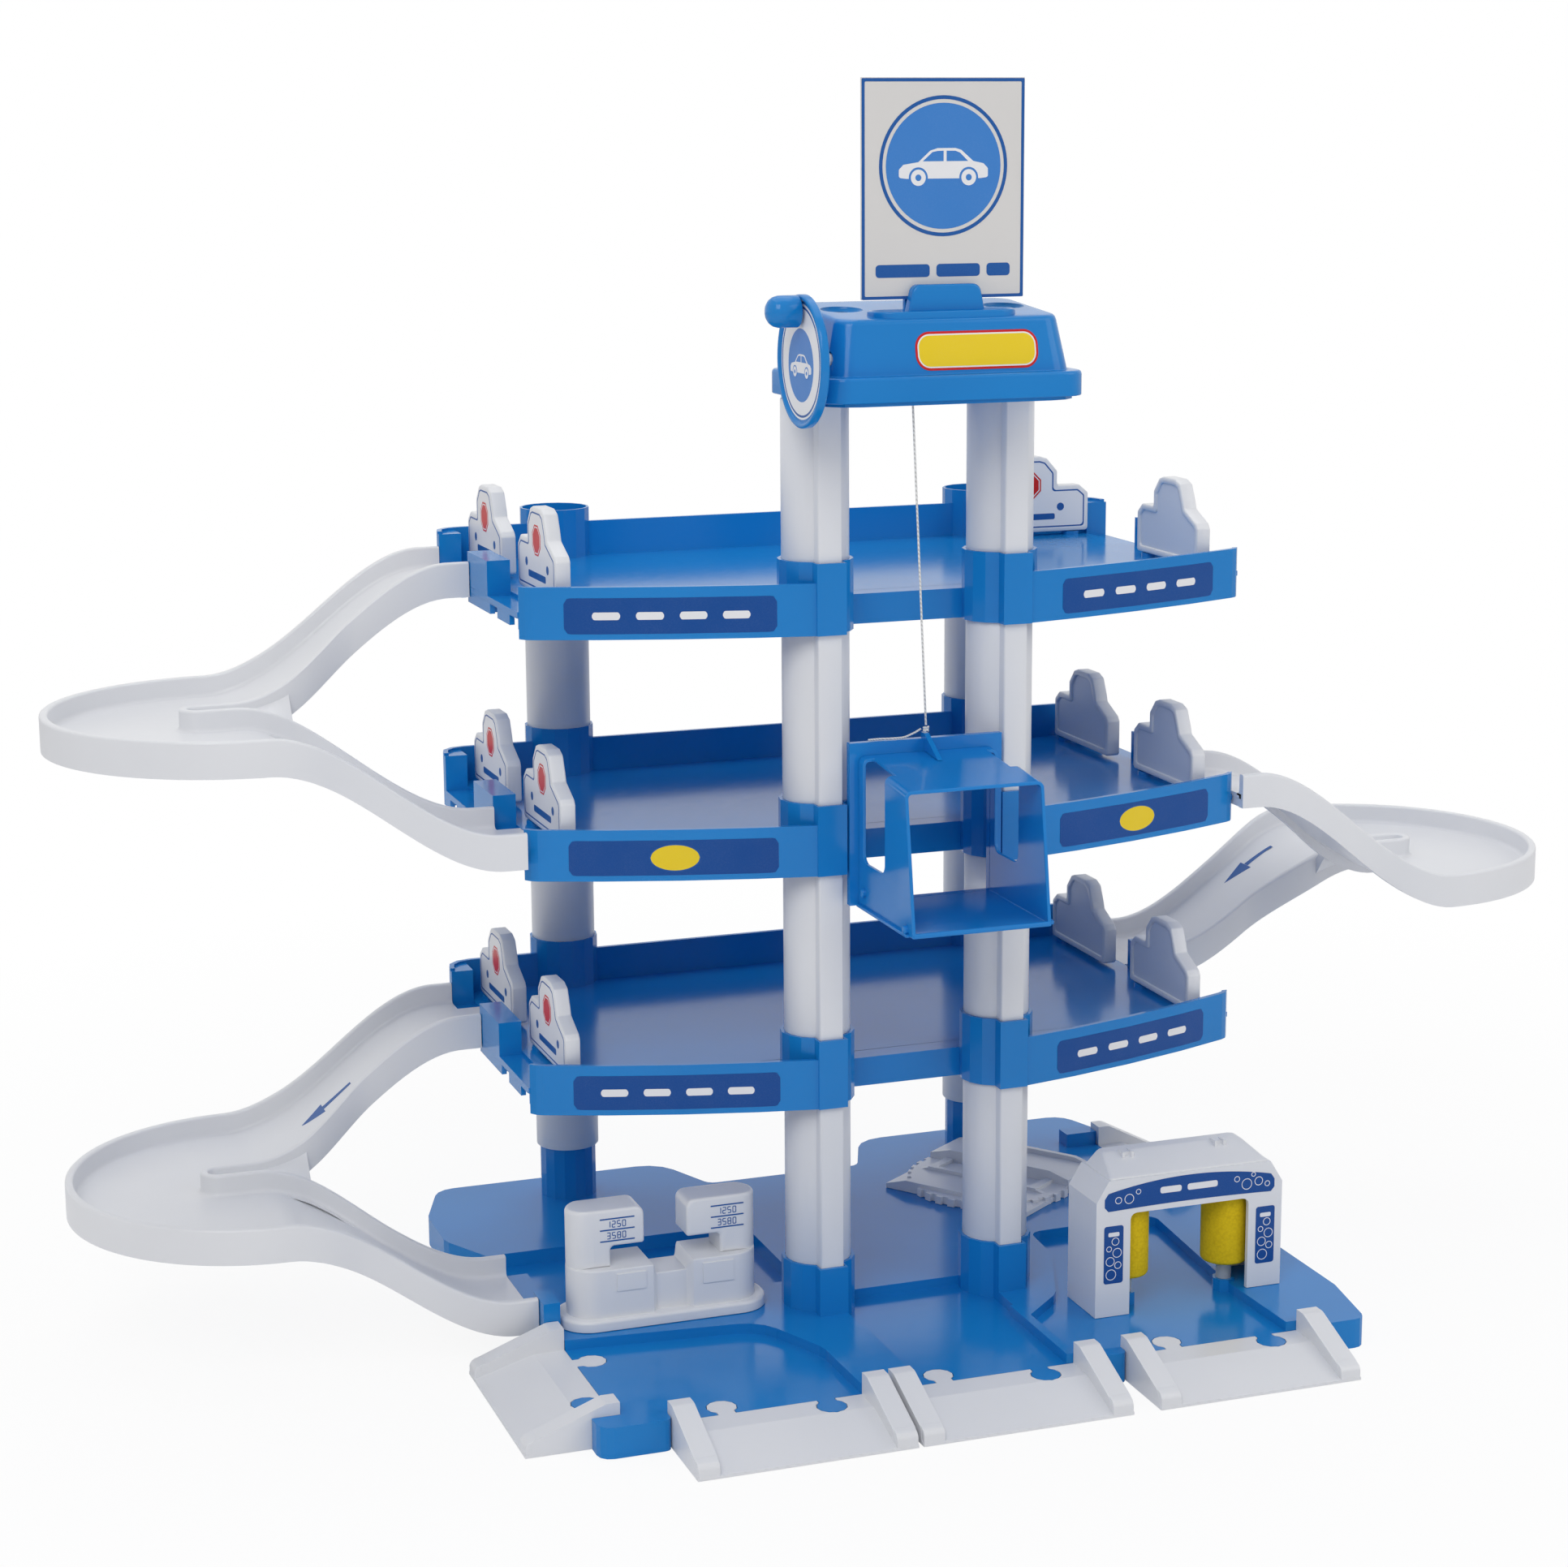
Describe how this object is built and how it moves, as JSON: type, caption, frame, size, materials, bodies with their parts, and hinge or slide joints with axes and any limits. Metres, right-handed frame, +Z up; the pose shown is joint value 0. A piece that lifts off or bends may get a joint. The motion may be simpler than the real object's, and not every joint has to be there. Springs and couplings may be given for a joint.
{
  "type": "toy parking garage",
  "caption": "Toy parking garage: stacked decks on hollow columns, loop ramps, swinging gates, a crank-wound string lift, a fuel island and a car wash.",
  "frame": {"origin": "middle of the bounding box at floor level", "axes": "+X along the decks, to the right as seen from the front; +Y from the front entrance to the back; +Z up"},
  "size_m": [0.9688, 0.4596, 0.7346],
  "materials": {
    "blue_plastic": "gloss",
    "bright_blue_plastic": "gloss",
    "white_plastic": "semi-gloss",
    "roller_foam": "matte foam",
    "sign_card": "satin print on card",
    "twine": "matte twisted"
  },
  "bodies": {
    "garage": {"base_plate": "blue_plastic", "deck_lower": "blue_plastic", "deck_middle": "blue_plastic", "deck_upper": "blue_plastic", "front_column_left_1": "white_plastic", "front_column_left_2": "white_plastic", "front_column_left_3": "white_plastic", "front_column_left_4": "white_plastic", "back_column_left_1": "white_plastic", "back_column_left_2": "white_plastic", "back_column_left_3": "white_plastic", "front_column_right_1": "white_plastic", "front_column_right_2": "white_plastic", "front_column_right_3": "white_plastic", "front_column_right_4": "white_plastic", "back_column_right_1": "white_plastic", "back_column_right_2": "white_plastic", "back_column_right_3": "white_plastic", "loop_ramp_left_upper": "white_plastic", "loop_ramp_left_lower": "white_plastic", "loop_ramp_right": "white_plastic", "entrance_ramp_front_left": "white_plastic", "entrance_ramp_front_middle": "white_plastic", "entrance_ramp_front_right": "white_plastic", "entrance_ramp_left": "white_plastic", "entrance_ramp_right": "white_plastic", "fuel_island": "white_plastic", "fuel_pump_left": "white_plastic", "fuel_pump_right": "white_plastic", "wash_arch": "white_plastic", "wash_roof": "white_plastic", "wash_shaft_left": "white_plastic", "wash_shaft_right": "white_plastic", "service_rack": "white_plastic", "roof_cap": "blue_plastic", "roof_tray": "blue_plastic", "sign_holder": "blue_plastic", "sign_board": "sign_card", "lift_string": "twine"},
    "lift": {"lift_cabin": "bright_blue_plastic", "lift_frame": "bright_blue_plastic", "string_knot": "twine", "string_tail": "twine"},
    "crank": {"winch_axle": "white_plastic", "crank_disc": "blue_plastic", "crank_knob": "blue_plastic"},
    "barrier_lower_left_front": {"barrier_lower_left_front": "white_plastic"},
    "barrier_lower_left_back": {"barrier_lower_left_back": "white_plastic"},
    "barrier_lower_right_front": {"barrier_lower_right_front": "white_plastic"},
    "barrier_lower_right_back": {"barrier_lower_right_back": "white_plastic"},
    "barrier_middle_left_front": {"barrier_middle_left_front": "white_plastic"},
    "barrier_middle_left_back": {"barrier_middle_left_back": "white_plastic"},
    "barrier_middle_right_front": {"barrier_middle_right_front": "white_plastic"},
    "barrier_middle_right_back": {"barrier_middle_right_back": "white_plastic"},
    "barrier_upper_left_front": {"barrier_upper_left_front": "white_plastic"},
    "barrier_upper_left_back": {"barrier_upper_left_back": "white_plastic"},
    "barrier_upper_right_front": {"barrier_upper_right_front": "white_plastic"},
    "barrier_upper_right_back": {"barrier_upper_right_back": "white_plastic"},
    "wash_roller_left": {"wash_roller_left": "roller_foam"},
    "wash_roller_right": {"wash_roller_right": "roller_foam"}
  },
  "joints": [
    {"name": "lift_slide", "type": "slide", "parent": "garage", "child": "lift", "axis": [0, 0, 1], "range_m": [-0.254, 0.172], "deforming": ["lift_string"]},
    {"name": "crank_turn", "type": "hinge", "parent": "garage", "child": "crank", "pos_m": [0, -0.10055, 0.5831], "axis": [1, 0, 0], "range_deg": [-1765, 2605]},
    {"name": "barrier_lower_left_front_turn", "type": "hinge", "parent": "garage", "child": "barrier_lower_left_front", "pos_m": [-0.201, 0.04845, 0.166], "axis": [0, 0, 1], "range_deg": [0, 90]},
    {"name": "barrier_lower_left_back_turn", "type": "hinge", "parent": "garage", "child": "barrier_lower_left_back", "pos_m": [-0.201, 0.16995, 0.166], "axis": [0, 0, 1], "range_deg": [0, 90]},
    {"name": "barrier_lower_right_front_turn", "type": "hinge", "parent": "garage", "child": "barrier_lower_right_front", "pos_m": [0.201, 0.04845, 0.166], "axis": [0, 0, 1], "range_deg": [-90, 0]},
    {"name": "barrier_lower_right_back_turn", "type": "hinge", "parent": "garage", "child": "barrier_lower_right_back", "pos_m": [0.201, 0.16995, 0.166], "axis": [0, 0, 1], "range_deg": [-90, 0]},
    {"name": "barrier_middle_left_front_turn", "type": "hinge", "parent": "garage", "child": "barrier_middle_left_front", "pos_m": [-0.201, 0.04845, 0.306], "axis": [0, 0, 1], "range_deg": [0, 90]},
    {"name": "barrier_middle_left_back_turn", "type": "hinge", "parent": "garage", "child": "barrier_middle_left_back", "pos_m": [-0.201, 0.16995, 0.306], "axis": [0, 0, 1], "range_deg": [0, 90]},
    {"name": "barrier_middle_right_front_turn", "type": "hinge", "parent": "garage", "child": "barrier_middle_right_front", "pos_m": [0.201, 0.04845, 0.306], "axis": [0, 0, 1], "range_deg": [-90, 0]},
    {"name": "barrier_middle_right_back_turn", "type": "hinge", "parent": "garage", "child": "barrier_middle_right_back", "pos_m": [0.201, 0.16995, 0.306], "axis": [0, 0, 1], "range_deg": [-90, 0]},
    {"name": "barrier_upper_left_front_turn", "type": "hinge", "parent": "garage", "child": "barrier_upper_left_front", "pos_m": [-0.201, 0.04845, 0.446], "axis": [0, 0, 1], "range_deg": [0, 90]},
    {"name": "barrier_upper_left_back_turn", "type": "hinge", "parent": "garage", "child": "barrier_upper_left_back", "pos_m": [-0.201, 0.16995, 0.446], "axis": [0, 0, 1], "range_deg": [0, 90]},
    {"name": "barrier_upper_right_front_turn", "type": "hinge", "parent": "garage", "child": "barrier_upper_right_front", "pos_m": [0.201, 0.04845, 0.446], "axis": [0, 0, 1], "range_deg": [-90, 0]},
    {"name": "barrier_upper_right_back_turn", "type": "hinge", "parent": "garage", "child": "barrier_upper_right_back", "pos_m": [0.201, 0.16995, 0.446], "axis": [0, 0, 1], "range_deg": [0, 90]},
    {"name": "wash_roller_left_spin", "type": "hinge", "parent": "garage", "child": "wash_roller_left", "pos_m": [0.119, -0.09915, 0.026], "axis": [0, 0, 1], "continuous": true},
    {"name": "wash_roller_right_spin", "type": "hinge", "parent": "garage", "child": "wash_roller_right", "pos_m": [0.1862, -0.09915, 0.026], "axis": [0, 0, 1], "continuous": true}
  ],
  "couplings": [
    {"joint": "crank_turn", "follows": "lift_slide", "rad_per_m": -178.57}
  ]
}
